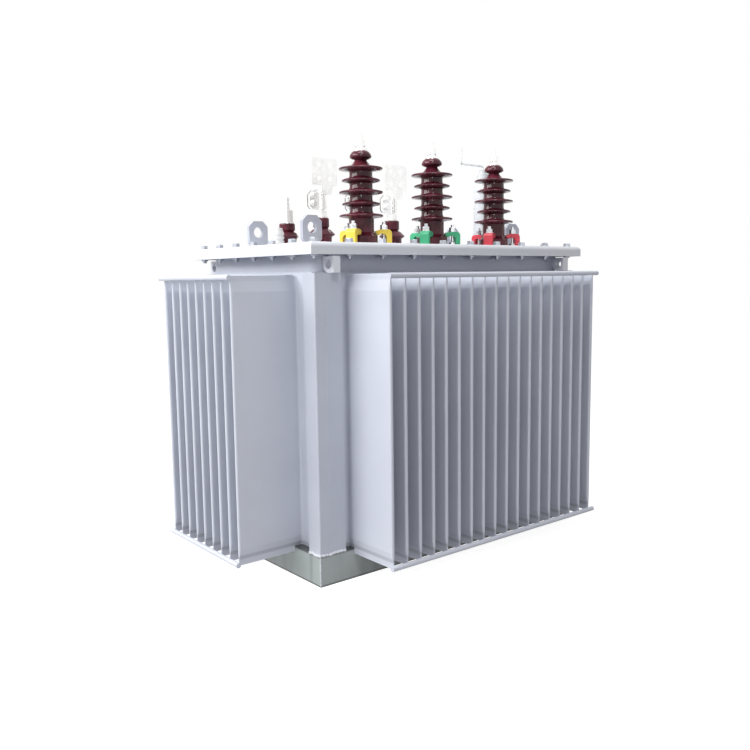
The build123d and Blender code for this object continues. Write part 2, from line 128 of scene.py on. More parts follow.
# 1 where the camera sees the surface directly, in a reflection or through glass, else 0
def seenOrMirrored(tree):
    path = addNode(tree, "ShaderNodeLightPath")
    seen = addNode(tree, "ShaderNodeMath", {"operation": "MAXIMUM"},
                   {0: path.outputs["Is Camera Ray"], 1: path.outputs["Is Glossy Ray"]})
    seen = addNode(tree, "ShaderNodeMath", {"operation": "MAXIMUM"},
                   {0: seen.outputs[0], 1: path.outputs["Is Transmission Ray"]})
    return seen.outputs[0]


def makeStudio(look):
    for name, lamp in look["lamps"].items():
        data = bpy.data.lights.new(name, "AREA")
        data.shape = "RECTANGLE"
        data.size, data.size_y = lamp["size"]
        data.energy = lamp["power"]
        light = bpy.data.objects.new(name, data)
        light.location = lamp["place"]
        aim = Vector(lamp["aim"]) - Vector(lamp["place"])
        light.rotation_euler = aim.to_track_quat("-Z", "Y").to_euler()
        scene.collection.objects.link(light)

    backdrop = linearColour(look["backdrop"])
    world = bpy.data.worlds.new("studioWorld")
    world.use_nodes = True
    tree = world.node_tree
    tree.nodes.clear()
    light = addNode(tree, "ShaderNodeBackground", {"Color": backdrop, "Strength": look["surroundings"]})
    white = addNode(tree, "ShaderNodeBackground", {"Color": backdrop, "Strength": 1.0})
    mix = addNode(tree, "ShaderNodeMixShader", {},
                  {0: seenOrMirrored(tree), 1: light.outputs[0], 2: white.outputs[0]})
    addNode(tree, "ShaderNodeOutputWorld", {}, {"Surface": mix.outputs[0]})
    scene.world = world

    reach = look["floorReach"]
    mesh = bpy.data.meshes.new("studioFloor")
    corners = [(-reach, -reach, 0), (reach, -reach, 0), (reach, reach, 0), (-reach, reach, 0)]
    mesh.from_pydata(corners, [], [(0, 1, 2, 3)])
    floor = bpy.data.objects.new("studioFloor", mesh)
    scene.collection.objects.link(floor)
    material, tree = newMaterial("paleStudioFloor")
    matt = addNode(tree, "ShaderNodeBsdfDiffuse", {"Color": linearColour(look["floorColour"])})
    glow = addNode(tree, "ShaderNodeEmission", {"Color": backdrop, "Strength": look["floorGlow"]})
    both = addNode(tree, "ShaderNodeAddShader", {}, {0: matt.outputs[0], 1: glow.outputs[0]})
    mix = addNode(tree, "ShaderNodeMixShader", {},
                  {0: seenOrMirrored(tree), 1: matt.outputs[0], 2: both.outputs[0]})
    addNode(tree, "ShaderNodeOutputMaterial", {}, {"Surface": mix.outputs[0]})
    mesh.materials.append(material)


makeStudio(studio)
print("studio set")


# Materials

# A colour that drifts between two, with the noise and the spread share behind it
def addMottle(tree, place, scale, detail, roughness, spread, colours):
    noise = addNode(tree, "ShaderNodeTexNoise", {"Scale": scale, "Detail": detail, "Roughness": roughness},
                    {"Vector": place})
    tone = addNode(tree, "ShaderNodeMapRange", {"From Min": spread[0], "From Max": spread[1]},
                   {"Value": noise.outputs["Fac"]})
    first, second = (linearColour(colour) for colour in colours)
    colour = addNode(tree, "ShaderNodeMix", {"data_type": "RGBA", 6: first, 7: second}, {0: tone.outputs[0]})
    return noise.outputs["Fac"], tone.outputs[0], colour


# Fine noise as relief: "size" is how wide its bumps are, "depth" how high, both in metres
def addRelief(tree, place, size, depth):
    noise = addNode(tree, "ShaderNodeTexNoise", {"Scale": 1 / size, "Detail": 1.0}, {"Vector": place})
    return addNode(tree, "ShaderNodeBump", {"Strength": 1.0, "Distance": depth},
                   {"Height": noise.outputs["Fac"]}).outputs[0]


# Polyurethane enamel sprayed on sheet steel: a soft sheen with faint orange peel.
# Real orange peel is 2 to 3 mm across, drawn at 6 to 12 mm so that it shows.
# Darker bands are listed by their height, how far they reach from it, and how strong they are: on the fins
# painted shade above the pinched bottoms, on the base painted shade under the fins and along the floor, with
# some settled dirt. The base also gets streaks of painted shade running down it, standing for the fins'
# shadows and reflections, with their strength in the base's last entry.
steelCoat = {"roughness": (0.30, 0.40), "peel": 0.009, "depth": 0.00005}
baseCoat = {"roughness": (0.14, 0.24), "peel": 0.012, "depth": 0.00006}
pipeCoat = {"roughness": (0.30, 0.42), "peel": 0.009, "depth": 0.00004}
castCoat = {"roughness": (0.22, 0.36), "peel": 0.006, "depth": 0.0002}
# The fins and the cover are painted lighter and the lugs darker than the tank's grey: painted light and painted shade
# on copies of one enamel.
sprayedEnamels = {
    "tankEnamel": {"colour": "#C5C9D5", "drift": "#BEC2CE", **steelCoat},
    "finEnamelPaintedLight": {"colour": "#D1D5E1", "drift": "#CACEDA", **steelCoat,
                  # Painted shade: a darker band above the pinched bottoms of the fins
                  "dirtAndShade": "#55565A", "dirtAndShadeBands": ((0.085, 0.007, 0.30),)},
    "coverEnamelPaintedLight": {"colour": "#E0E2E9", "drift": "#DADCE3", **steelCoat},
    "baseEnamel": {"colour": "#ADB4B4", "drift": "#9FA8A7", **baseCoat,
                   # Painted shade with some settled dirt along the base's top and bottom edges, and painted shade
                   # streaks
                   "dirtAndShade": "#2E3130", "dirtAndShadeBands": ((0.080, 0.007, 0.90), (0.000, 0.006, 0.80)), "shadeStreaks": 0.22},
    "lugEnamelPaintedShade": {"colour": "#B9BDC9", "drift": "#B2B6C2", **steelCoat},
    "fillerEnamel": {"colour": "#DADDE0", "drift": "#D0D4D8", **pipeCoat},
    "yellowClawEnamel": {"colour": "#F4DF5E", "drift": "#EBCB4A", **castCoat},
    "greenClawEnamel": {"colour": "#4CBF8D", "drift": "#43B080", **castCoat},
    "redClawEnamel": {"colour": "#E04C5B", "drift": "#D2404F", **castCoat},
}

# How the coat varies, counted per metre: the shade over about 250 mm, the sheen over about 90 mm,
# and the long streaks of painted shade about 40 mm apart. A spread is the part of the noise that shows, and
# the last entry says how much nearer than its reach a darker band is at full strength.
coatPattern = {
    "drifts": 4.0, "driftSpread": (0.35, 0.65), "smears": 11.0, "smearSpread": (0.3, 0.7),
    "shadeStreaks": (26.0, 26.0, 2.0), "shadeStreakSpread": (0.50, 0.66), "bandEdge": 3,
}


def makeEnamel(name, look, pattern):
    material, tree = newMaterial(name)
    place = addNode(tree, "ShaderNodeTexCoord").outputs["Object"]
    colour = addMottle(tree, place, pattern["drifts"], 4.0, 0.55, pattern["driftSpread"],
                       (look["colour"], look["drift"]))[2]
    height = addNode(tree, "ShaderNodeSeparateXYZ", {}, {0: place})
    dirtAndShadeMasks = []
    # Darker bands by height: painted shade, on the base with some settled dirt
    for middle, reach, strength in look.get("dirtAndShadeBands", ()):
        above = addNode(tree, "ShaderNodeMath", {"operation": "SUBTRACT", 1: middle}, {0: height.outputs["Z"]})
        away = addNode(tree, "ShaderNodeMath", {"operation": "ABSOLUTE"}, {0: above.outputs[0]})
        dirtAndShadeMasks.append(addNode(tree, "ShaderNodeMapRange",
                             {"From Min": reach, "From Max": reach / pattern["bandEdge"], "To Max": strength},
                             {"Value": away.outputs[0]}))
    # Streaks of painted shade down the base, standing for the fins' shadows and reflections
    if "shadeStreaks" in look:
        column = addNode(tree, "ShaderNodeVectorMath", {"operation": "MULTIPLY", 1: pattern["shadeStreaks"]}, {0: place})
        shadeStreaks = addNode(tree, "ShaderNodeTexNoise", {"Scale": 1.0, "Detail": 2.0}, {"Vector": column.outputs[0]})
        start, full = pattern["shadeStreakSpread"]
        dirtAndShadeMasks.append(addNode(tree, "ShaderNodeMapRange",
                             {"From Min": start, "From Max": full, "To Max": look["shadeStreaks"]},
                             {"Value": shadeStreaks.outputs["Fac"]}))
    for dirtAndShade in dirtAndShadeMasks:
        colour = addNode(tree, "ShaderNodeMix", {"data_type": "RGBA", 7: linearColour(look["dirtAndShade"])},
                         {0: dirtAndShade.outputs[0], 6: colour.outputs[2]})
    smear = addNode(tree, "ShaderNodeTexNoise", {"Scale": pattern["smears"], "Detail": 3.0}, {"Vector": place})
    (start, full), (low, high) = pattern["smearSpread"], look["roughness"]
    rough = addNode(tree, "ShaderNodeMapRange",
                    {"From Min": start, "From Max": full, "To Min": low, "To Max": high},
                    {"Value": smear.outputs["Fac"]})
    paint = addNode(tree, "ShaderNodeBsdfPrincipled", {"IOR": 1.5}, {
        "Base Color": colour.outputs[2], "Roughness": rough.outputs[0],
        "Normal": addRelief(tree, place, look["peel"], look["depth"])})
    addNode(tree, "ShaderNodeOutputMaterial", {}, {"Surface": paint.outputs[0]})
    return material


# Brown-glazed electrical porcelain: glassy, darker where the glaze lies thick.
# The glaze's colour drifts over about 40 mm, its ripple over about 14 mm.
porcelain = {
    "thick": "#3E121D", "thin": "#6A2D3A", "drift": 0.040, "driftSpread": (0.35, 0.7),
    "ripple": 0.014, "depth": 0.00015, "roughness": (0.04, 0.10), "roughSpread": (0.3, 0.7), "shine": 0.32,
}


def makeGlaze(name, look):
    material, tree = newMaterial(name)
    place = addNode(tree, "ShaderNodeTexCoord").outputs["Object"]
    cloud, _, colour = addMottle(tree, place, 1 / look["drift"], 5.0, 0.6, look["driftSpread"],
                                 (look["thick"], look["thin"]))
    (start, full), (low, high) = look["roughSpread"], look["roughness"]
    rough = addNode(tree, "ShaderNodeMapRange",
                    {"From Min": start, "From Max": full, "To Min": low, "To Max": high}, {"Value": cloud})
    glaze = addNode(tree, "ShaderNodeBsdfPrincipled", {"IOR": 1.5, "Specular IOR Level": look["shine"]}, {
        "Base Color": colour.outputs[2], "Roughness": rough.outputs[0],
        "Normal": addRelief(tree, place, look["ripple"], look["depth"])})
    addNode(tree, "ShaderNodeOutputMaterial", {}, {"Surface": glaze.outputs[0]})
    return material


# Metals left bare: tinned copper terminals, near white and satin, and zinc-plated steel fasteners,
# greyer and duller. Their faint handling marks are 5 mm across on zinc and 20 mm on tin.
bareMetals = {
    "tinnedCopper": {"bright": "#FDFDFC", "dull": "#F6F6F5", "marks": 0.020, "roughness": (0.20, 0.28)},
    "weatheredZinc": {"bright": "#C6CAD2", "dull": "#A4A8B1", "marks": 0.005, "roughness": (0.34, 0.52)},
    "zincPlate": {"bright": "#E4E6E8", "dull": "#C4C7CB", "marks": 0.005, "roughness": (0.28, 0.48)},
}
markSpread = (0.35, 0.65)


def makeMetal(name, look):
    material, tree = newMaterial(name)
    place = addNode(tree, "ShaderNodeTexCoord").outputs["Object"]
    tone, colour = addMottle(tree, place, 1 / look["marks"], 4.0, 0.6, markSpread,
                             (look["bright"], look["dull"]))[1:]
    low, high = look["roughness"]
    rough = addNode(tree, "ShaderNodeMapRange", {"To Min": low, "To Max": high}, {"Value": tone})
    metal = addNode(tree, "ShaderNodeBsdfPrincipled", {"Metallic": 1.0},
                    {"Base Color": colour.outputs[2], "Roughness": rough.outputs[0]})
    addNode(tree, "ShaderNodeOutputMaterial", {}, {"Surface": metal.outputs[0]})
    return material


# Moulded white nylon of the thermometer pocket: matt with a fine grain, drawn at 2 mm
nylon = {"colour": "#ECEDED", "shade": "#DFE0E0", "grain": 0.002, "depth": 0.0001, "relief": 0.4, "roughness": 0.5}


def makeNylon(name, look):
    material, tree = newMaterial(name)
    place = addNode(tree, "ShaderNodeTexCoord").outputs["Object"]
    grain = addNode(tree, "ShaderNodeTexNoise", {"Scale": 1 / look["grain"], "Detail": 2.0}, {"Vector": place})
    colour = addNode(tree, "ShaderNodeMix",
                     {"data_type": "RGBA", 6: linearColour(look["colour"]), 7: linearColour(look["shade"])},
                     {0: grain.outputs["Fac"]})
    bump = addNode(tree, "ShaderNodeBump", {"Strength": look["relief"], "Distance": look["depth"]},
                   {"Height": grain.outputs["Fac"]})
    plastic = addNode(tree, "ShaderNodeBsdfPrincipled", {"IOR": 1.53, "Roughness": look["roughness"]},
                      {"Base Color": colour.outputs[2], "Normal": bump.outputs[0]})
    addNode(tree, "ShaderNodeOutputMaterial", {}, {"Surface": plastic.outputs[0]})
    return material


finishes = {name: makeEnamel(name, look, coatPattern) for name, look in sprayedEnamels.items()}
finishes["brownGlaze"] = makeGlaze("brownGlaze", porcelain)
finishes.update({name: makeMetal(name, look) for name, look in bareMetals.items()})
finishes["whiteNylon"] = makeNylon("whiteNylon", nylon)

# By how a node's name starts, the first that fits. The rest are tankEnamel.
finishOf = {
    "tank_base": "baseEnamel",
    "fin_wall": "finEnamelPaintedLight",
    "tie_bars": "finEnamelPaintedLight",
    "cover_lugs": "lugEnamelPaintedShade",
    "cover": "coverEnamelPaintedLight",
    # The tank eyes take the cover's lighter enamel: painted light on them.
    "tank_eyes": "coverEnamelPaintedLight",
    "hv_bushing": "brownGlaze",
    "lv_bushing": "brownGlaze",
    "hv_terminal": "tinnedCopper",
    "lv_stud": "tinnedCopper",
    "lv_flag": "tinnedCopper",
    "hv_claws_a": "yellowClawEnamel",
    "hv_claws_b": "greenClawEnamel",
    "hv_claws_c": "redClawEnamel",
    "filler_pipe": "fillerEnamel",
    "filler_lever": "zincPlate",
    "thermometer_pocket": "whiteNylon",
}

for name, node in nodes.items():
    finish = next((value for start, value in finishOf.items() if name.startswith(start)), "tankEnamel")
    node.data.materials.clear()
    node.data.materials.append(finishes[finish])
print("materials on", len(nodes), "nodes")


# High voltage porcelain, turned from its profile: thick rims, flat-topped sheds and a low cap,
# with a tinned cap on top. Heights are from the cover, and those of both caps and of the neck are
# from the last shed.

phases = "abc"
turning = {"sides": 72, "sharpEdge": 40}  # degrees

hvPorcelain = {
    "footRadius": 0.0430, "footHeight": 0.0240, "footEdge": 0.002, "lowerRadius": 0.0335, "shoulderHeight": 0.0320,
    "coreRadius": 0.0305, "shedCount": 5, "firstShed": 0.0750, "shedPitch": 0.0305,
    "largeShed": 0.0584, "smallShed": 0.0509,
    "rim": 0.0028, "rimStart": -110, "rimStep": 30, "rimPoints": 7,  # the rim's round, from its underside
    "underside": 0.0080, "undersideInner": (0.003, 0.0062), "undersideOuter": (0.008, 0.0040),
    "shedTop": 0.0065, "root": 0.0125,
    "shedSlope": ((0.28, 0.42), (0.55, 0.62), (0.78, 0.85), (0.90, 1.15)),  # shares inwards and up
    "coneRadius": 0.0240, "cone": 0.0110,
    "neckRadius": 0.0155, "neck": 0.0220, "neckRound": (0.002, 0.003),
    "capRadius": 0.0290, "capRim": 0.0300, "capTop": 0.0460, "capTopInset": 0.0105,
    "capCurve": ((0.005, -0.0045), (0.001, -0.002), (0, 0.001), (0.0012, 0.006), (0.005, 0.0115)),  # inwards and up
}

hvMetalCap = {"flare": 0.003, "skirt": 0.003, "taper": 0.003, "edge": 0.002, "topRadius": 0.011, "top": 0.0580}


def shedPoints(size, height, rim, below, above, root):
    lip = size["rim"]
    innerX, innerZ = size["undersideInner"]
    outerX, outerZ = size["undersideOuter"]
    points = [(below, height - size["underside"]), (below + innerX, height - innerZ), (rim - outerX, height - outerZ)]
    for step in range(size["rimPoints"]):
        angle = math.radians(size["rimStart"] + step * size["rimStep"])
        points.append((rim - lip + lip * math.cos(angle), height + lip * math.sin(angle)))
    for share, rise in size["shedSlope"]:
        points.append((rim - share * (rim - above), height + lip + (size["shedTop"] - lip) * rise))
    points.append((above, height + root))
    return points


def lastShed(size):
    return size["firstShed"] + (size["shedCount"] - 1) * size["shedPitch"]


def porcelainProfile(size):
    foot, footTop, edge = size["footRadius"], size["footHeight"], size["footEdge"]
    points = [(0, 0), (foot, 0), (foot, footTop - edge), (foot - edge, footTop),
              (size["lowerRadius"], size["shoulderHeight"])]
    below = size["lowerRadius"]
    for shed in range(size["shedCount"]):
        height = size["firstShed"] + shed * size["shedPitch"]
        rim = size["smallShed"] if shed % 2 else size["largeShed"]
        last = shed == size["shedCount"] - 1
        above, root = (size["coneRadius"], size["cone"]) if last else (size["coreRadius"], size["root"])
        points += shedPoints(size, height, rim, below, above, root)
        below = above
    outward, downward = size["neckRound"]
    neck, neckHeight = size["neckRadius"], lastShed(size) + size["neck"]
    points += [(neck + outward, neckHeight - downward), (neck, neckHeight)]
    radius, rim, top = size["capRadius"], lastShed(size) + size["capRim"], lastShed(size) + size["capTop"]
    points += [(radius - inward, rim + upward) for inward, upward in size["capCurve"]]
    return points + [(radius - size["capTopInset"], top), (0, top)]


def metalCapProfile(cap, size):
    bottom, top = lastShed(size) + size["capTop"], lastShed(size) + cap["top"]
    wide = size["neckRadius"] + cap["flare"]
    return [(0, bottom), (wide, bottom), (wide, bottom + cap["skirt"]),
            (size["neckRadius"] - cap["taper"], top - cap["edge"]), (cap["topRadius"], top), (0, top)]


def turnPiece(name, profile, middle, finish):
    sides = turning["sides"]
    points, faces, rings = [], [], []
    for radius, height in profile:
        count = sides if radius else 1
        rings.append(range(len(points), len(points) + count))
        for side in range(count):
            angle = math.tau * side / sides
            points.append((middle[0] + radius * math.cos(angle), middle[1] + radius * math.sin(angle),
                           middle[2] + height))
    for low, high in zip(rings, rings[1:]):
        for side in range(sides):
            after = (side + 1) % sides
            if len(low) == 1:
                faces.append((low[0], high[after], high[side]))
            elif len(high) == 1:
                faces.append((low[side], low[after], high[0]))
            else:
                faces.append((low[side], low[after], high[after], high[side]))
    mesh = bpy.data.meshes.new(name)
    mesh.from_pydata(points, [], faces)
    mesh.materials.append(finishes[finish])
    mesh.shade_smooth()
    mesh.set_sharp_from_angle(angle=math.radians(turning["sharpEdge"]))
    piece = bpy.data.objects.new(name, mesh)
    scene.collection.objects.link(piece)
    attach(piece, "root")
    return piece


def footMiddle(name):
    low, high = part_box(name)
    return (low.x + high.x) / 2, (low.y + high.y) / 2, low.z


porcelainShape = porcelainProfile(hvPorcelain)
metalShape = metalCapProfile(hvMetalCap, hvPorcelain)
for phase in phases:
    middle = footMiddle("hv_bushing_" + phase)
    piece = turnPiece("hvPorcelain_" + phase, porcelainShape, middle, "brownGlaze")
    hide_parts("hv_bushing_" + phase)
    turnPiece("hvMetalCap_" + phase, metalShape, middle, "tinnedCopper")
print("porcelain turned:", len(porcelainShape), "profile points")


# Pieces made by Geometry Nodes: what repeats, and what follows a path

def startTree(name, sizes):
    tree = bpy.data.node_groups.new(name, "GeometryNodeTree")
    tree.interface.new_socket("Geometry", in_out="INPUT", socket_type="NodeSocketGeometry")
    for label, value in sizes.items():
        kind = "NodeSocketInt" if isinstance(value, int) else "NodeSocketFloat"
        tree.interface.new_socket(label, in_out="INPUT", socket_type=kind)
    tree.interface.new_socket("Geometry", in_out="OUTPUT", socket_type="NodeSocketGeometry")
    return tree, addNode(tree, "NodeGroupInput").outputs


def endTree(tree, shape, finish):
    real = addNode(tree, "GeometryNodeRealizeInstances", {}, {"Geometry": shape})
    painted = addNode(tree, "GeometryNodeSetMaterial", {"Material": finishes[finish]}, {"Geometry": real.outputs[0]})
    addNode(tree, "NodeGroupOutput", {}, {"Geometry": painted.outputs[0]})


sharpEdge = 35  # degrees


def makePiece(name, tree, sizes, slot, points=(), edges=()):
    path = bpy.data.meshes.new(name + "Path")
    path.from_pydata(points, edges, [])
    piece = bpy.data.objects.new(name, path)
    scene.collection.objects.link(piece)
    modifier = piece.modifiers.new(name, "NODES")
    modifier.node_group = tree
    for socket in tree.interface.items_tree:
        if socket.in_out == "INPUT" and socket.name in sizes:
            modifier[socket.identifier] = sizes[socket.name]
    made = bpy.data.meshes.new_from_object(piece.evaluated_get(bpy.context.evaluated_depsgraph_get()))
    made.name = name
    made.shade_smooth()
    made.set_sharp_from_angle(angle=math.radians(sharpEdge))
    piece.modifiers.remove(modifier)
    piece.data = made
    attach(piece, "root")
    print(name, "made with", len(made.polygons), "faces")


# A prism or a cone standing on the height "bottom", for heads, nuts and shanks
def addPrism(tree, sides, bottom, height, radius, topRadius=None):
    cone = addNode(tree, "GeometryNodeMeshCone", {"Vertices": sides},
                   {"Depth": height, "Radius Bottom": radius, "Radius Top": topRadius or radius})
    spot = addNode(tree, "ShaderNodeCombineXYZ", {}, {"Z": bottom})
    return addNode(tree, "GeometryNodeTransform", {},
                   {"Geometry": cone.outputs["Mesh"], "Translation": spot.outputs[0]}).outputs[0]


boltShape = {"washerSides": 20, "headSides": 6, "shankSides": 12, "chamfer": 0.14}  # a share of the head


# A bolt along Z: washer on the seat, chamfered hexagon, shank, and a nut below what it clamps
def addBolt(tree, given, shape):
    seat, radius, chamfer = given["Washer Height"], given["Head Radius"], shape["chamfer"]
    washer = addNode(tree, "GeometryNodeMeshCone", {"Vertices": shape["washerSides"]},
                     {"Depth": seat, "Radius Bottom": given["Washer Radius"], "Radius Top": given["Washer Radius"]})
    headTop = addNode(tree, "ShaderNodeMath", {"operation": "ADD"}, {0: seat, 1: given["Head Height"]}).outputs[0]
    bevel = addNode(tree, "ShaderNodeMath", {"operation": "MULTIPLY", 1: chamfer}, {0: radius}).outputs[0]
    narrow = addNode(tree, "ShaderNodeMath", {"operation": "MULTIPLY", 1: 1 - chamfer}, {0: radius}).outputs[0]
    nutBottom = addNode(tree, "ShaderNodeMath", {"operation": "SUBTRACT"},
                        {0: given["Nut Seat"], 1: given["Nut Height"]}).outputs[0]
    shankBottom = addNode(tree, "ShaderNodeMath", {"operation": "SUBTRACT"},
                          {0: nutBottom, 1: given["Thread Out"]}).outputs[0]
    shankTop = addNode(tree, "ShaderNodeMath", {"operation": "ADD"},
                       {0: headTop, 1: given["Thread Above"]}).outputs[0]
    shankHeight = addNode(tree, "ShaderNodeMath", {"operation": "SUBTRACT"},
                          {0: shankTop, 1: shankBottom}).outputs[0]
    joined = addNode(tree, "GeometryNodeJoinGeometry")
    for part in (
        washer.outputs["Mesh"],
        addPrism(tree, shape["headSides"], seat, given["Head Height"], radius),
        addPrism(tree, shape["headSides"], headTop, bevel, radius, narrow),
        addPrism(tree, shape["shankSides"], shankBottom, shankHeight, given["Shank Radius"]),
        addPrism(tree, shape["headSides"], nutBottom, given["Nut Height"], radius),
    ):
        tree.links.new(part, joined.inputs[0])
    return joined.outputs[0]


def turnAtRandom(tree, seed):
    turn = addNode(tree, "FunctionNodeRandomValue", {"data_type": "FLOAT", "Seed": seed, 3: math.tau})
    return addNode(tree, "ShaderNodeCombineXYZ", {}, {"Z": turn.outputs[1]}).outputs[0]


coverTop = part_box("cover")[1].z
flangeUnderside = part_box("rim_flange")[0].z

# Cover bolts, ten along each long side and seven along each end
coverBolts = {
    "Row Length": 0.960, "Row Width": 0.562, "Long Side Count": 10, "End Count": 7, "Inner Share": 0.49,
    "Head Radius": 0.0102, "Head Height": 0.0070, "Washer Radius": 0.0118, "Washer Height": 0.0024,
    "Shank Radius": 0.0050, "Nut Seat": flangeUnderside - coverTop, "Nut Height": 0.0060, "Thread Out": 0.0055,
    "Thread Above": 0.0, "Height": coverTop,
}


def makeCoverBolts(sizes):
    tree, given = startTree("coverBolts", sizes)
    grid = addNode(tree, "GeometryNodeMeshGrid", {}, {
        "Size X": given["Row Length"], "Size Y": given["Row Width"],
        "Vertices X": given["Long Side Count"], "Vertices Y": given["End Count"]})
    spot = addNode(tree, "GeometryNodeInputPosition")
    spot = addNode(tree, "ShaderNodeSeparateXYZ", {}, {0: spot.outputs[0]})
    inside = []
    for axis, extent in ((0, "Row Length"), (1, "Row Width")):
        reach = addNode(tree, "ShaderNodeMath", {"operation": "ABSOLUTE"}, {0: spot.outputs[axis]})
        limit = addNode(tree, "ShaderNodeMath", {"operation": "MULTIPLY"},
                        {0: given[extent], 1: given["Inner Share"]})
        inside.append(addNode(tree, "ShaderNodeMath", {"operation": "LESS_THAN"},
                              {0: reach.outputs[0], 1: limit.outputs[0]}))
    middle = addNode(tree, "ShaderNodeMath", {"operation": "MULTIPLY"},
                     {0: inside[0].outputs[0], 1: inside[1].outputs[0]})
    ring = addNode(tree, "GeometryNodeDeleteGeometry", {"domain": "POINT"},
                   {"Geometry": grid.outputs[0], "Selection": middle.outputs[0]})
    placed = addNode(tree, "GeometryNodeInstanceOnPoints", {}, {
        "Points": ring.outputs[0], "Instance": addBolt(tree, given, boltShape), "Rotation": turnAtRandom(tree, 4)})
    lift = addNode(tree, "ShaderNodeCombineXYZ", {}, {"Z": given["Height"]})
    lifted = addNode(tree, "GeometryNodeTransform", {},
                     {"Geometry": placed.outputs[0], "Translation": lift.outputs[0]})
    endTree(tree, lifted.outputs[0], "weatheredZinc")
    makePiece("coverBolts", tree, sizes, "zinc_steel")


makeCoverBolts(coverBolts)

# Claw bolts: a stud, washer and nut on each of the three claws round a high voltage bushing
clawBolts = {
    "Claw Count": 3, "Bolt Circle": 0.060, "Turn": math.radians(91),
    "Head Radius": 0.0100, "Head Height": 0.0090, "Washer Radius": 0.0110, "Washer Height": 0.0020,
    "Shank Radius": 0.0048, "Nut Seat": -0.0300, "Nut Height": 0.0050, "Thread Out": 0.0040,
    "Thread Above": 0.0090, "Height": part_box("hv_claws_a")[1].z,
}


def makeClawBolts(sizes):
    tree, given = startTree("clawBolts", sizes)
    ring = addNode(tree, "GeometryNodeMeshCircle", {},
                   {"Vertices": given["Claw Count"], "Radius": given["Bolt Circle"]})
    turn = addNode(tree, "ShaderNodeCombineXYZ", {}, {"Z": given["Turn"]})
    lift = addNode(tree, "ShaderNodeCombineXYZ", {}, {"Z": given["Height"]})
    turned = addNode(tree, "GeometryNodeTransform", {},
                     {"Geometry": ring.outputs[0], "Rotation": turn.outputs[0], "Translation": lift.outputs[0]})
    studs = addNode(tree, "GeometryNodeInstanceOnPoints", {}, {
        "Points": turned.outputs[0], "Instance": addBolt(tree, given, boltShape), "Rotation": turnAtRandom(tree, 7)})
    centres = addNode(tree, "GeometryNodeInstanceOnPoints", {},
                      {"Points": given["Geometry"], "Instance": studs.outputs[0]})
    endTree(tree, centres.outputs[0], "zincPlate")
    middles = [(*footMiddle("hv_bushing_" + phase)[:2], 0) for phase in phases]
    makePiece("clawBolts", tree, sizes, "zinc_steel", middles)


makeClawBolts(clawBolts)

# Clamp bolts, two through the ears of each flag clamp
clampBolts = {
    "bolt": {
        "Head Radius": 0.0095, "Head Height": 0.0060, "Washer Radius": 0.0105, "Washer Height": 0.0020,
        "Shank Radius": 0.0048, "Nut Seat": -0.0260, "Nut Height": 0.0080, "Thread Out": 0.0050, "Thread Above": 0.0,
    },
    "earInset": 0.014, "earFront": 0.013, "rises": (0.017, 0.041),  # above the clamp's underside
}


def makeClampBolts(look):
    tree, given = startTree("clampBolts", look["bolt"])
    toFront = addNode(tree, "ShaderNodeCombineXYZ", {"X": math.pi / 2})
    placed = addNode(tree, "GeometryNodeInstanceOnPoints", {}, {
        "Points": given["Geometry"], "Instance": addBolt(tree, given, boltShape), "Rotation": toFront.outputs[0]})
    endTree(tree, placed.outputs[0], "tinnedCopper")
    spots = []
    for phase in phases:
        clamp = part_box("lv_flag_" + phase)[0]
        front = footMiddle("lv_bushing_" + phase)[1] - look["earFront"]
        spots += [(clamp.x + look["earInset"], front, clamp.z + rise) for rise in look["rises"]]
    makePiece("clampBolts", tree, look["bolt"], "tinned_metal", spots)


makeClampBolts(clampBolts)


# Weld beads: a round bead along a path, swelling once for each pass of the torch
beadShape = {"wanderScale": 60.0, "profilePoints": 8}


def makeBead(name, sizes, finish, slot, paths):
    tree, given = startTree(name, sizes)
    line = addNode(tree, "GeometryNodeMeshToCurve", {}, {"Mesh": given["Geometry"]})
    dense = addNode(tree, "GeometryNodeResampleCurve", {"mode": "LENGTH"},
                    {"Curve": line.outputs[0], "Length": given["Point Spacing"]})
    spot = addNode(tree, "GeometryNodeInputPosition")
    drift = addNode(tree, "ShaderNodeTexNoise", {"Scale": beadShape["wanderScale"], "Detail": 1.0},
                    {"Vector": spot.outputs[0]})
    centred = addNode(tree, "ShaderNodeVectorMath", {"operation": "SUBTRACT", 1: (0.5, 0.5, 0.5)},
                      {0: drift.outputs["Color"]})
    offset = addNode(tree, "ShaderNodeVectorMath", {"operation": "SCALE"},
                     {0: centred.outputs[0], "Scale": given["Wander"]})
    moved = addNode(tree, "GeometryNodeSetPosition", {}, {"Geometry": dense.outputs[0], "Offset": offset.outputs[0]})
    along = addNode(tree, "GeometryNodeSplineParameter")
    passes = addNode(tree, "ShaderNodeMath", {"operation": "DIVIDE"},
                     {0: along.outputs["Length"], 1: given["Swell Length"]})
    wave = addNode(tree, "ShaderNodeMath", {"operation": "MULTIPLY", 1: math.tau}, {0: passes.outputs[0]})
    sine = addNode(tree, "ShaderNodeMath", {"operation": "SINE"}, {0: wave.outputs[0]})
    swell = addNode(tree, "ShaderNodeMath", {"operation": "MULTIPLY"}, {0: sine.outputs[0], 1: given["Swell"]})
    width = addNode(tree, "ShaderNodeMath", {"operation": "ADD", 1: 1.0}, {0: swell.outputs[0]})
    profile = addNode(tree, "GeometryNodeCurvePrimitiveCircle", {"Resolution": beadShape["profilePoints"]},
                      {"Radius": given["Bead Radius"]})
    bead = addNode(tree, "GeometryNodeCurveToMesh", {"Fill Caps": True},
                   {"Curve": moved.outputs[0], "Profile Curve": profile.outputs[0], "Scale": width.outputs[0]})
    endTree(tree, bead.outputs[0], finish)
    makePiece(name, tree, sizes, slot, *joinPaths(paths))


def joinPaths(paths):
    points, edges = [], []
    for path in paths:
        edges += [(len(points) + i, len(points) + i + 1) for i in range(len(path) - 1)]
        points += path
    return points, edges


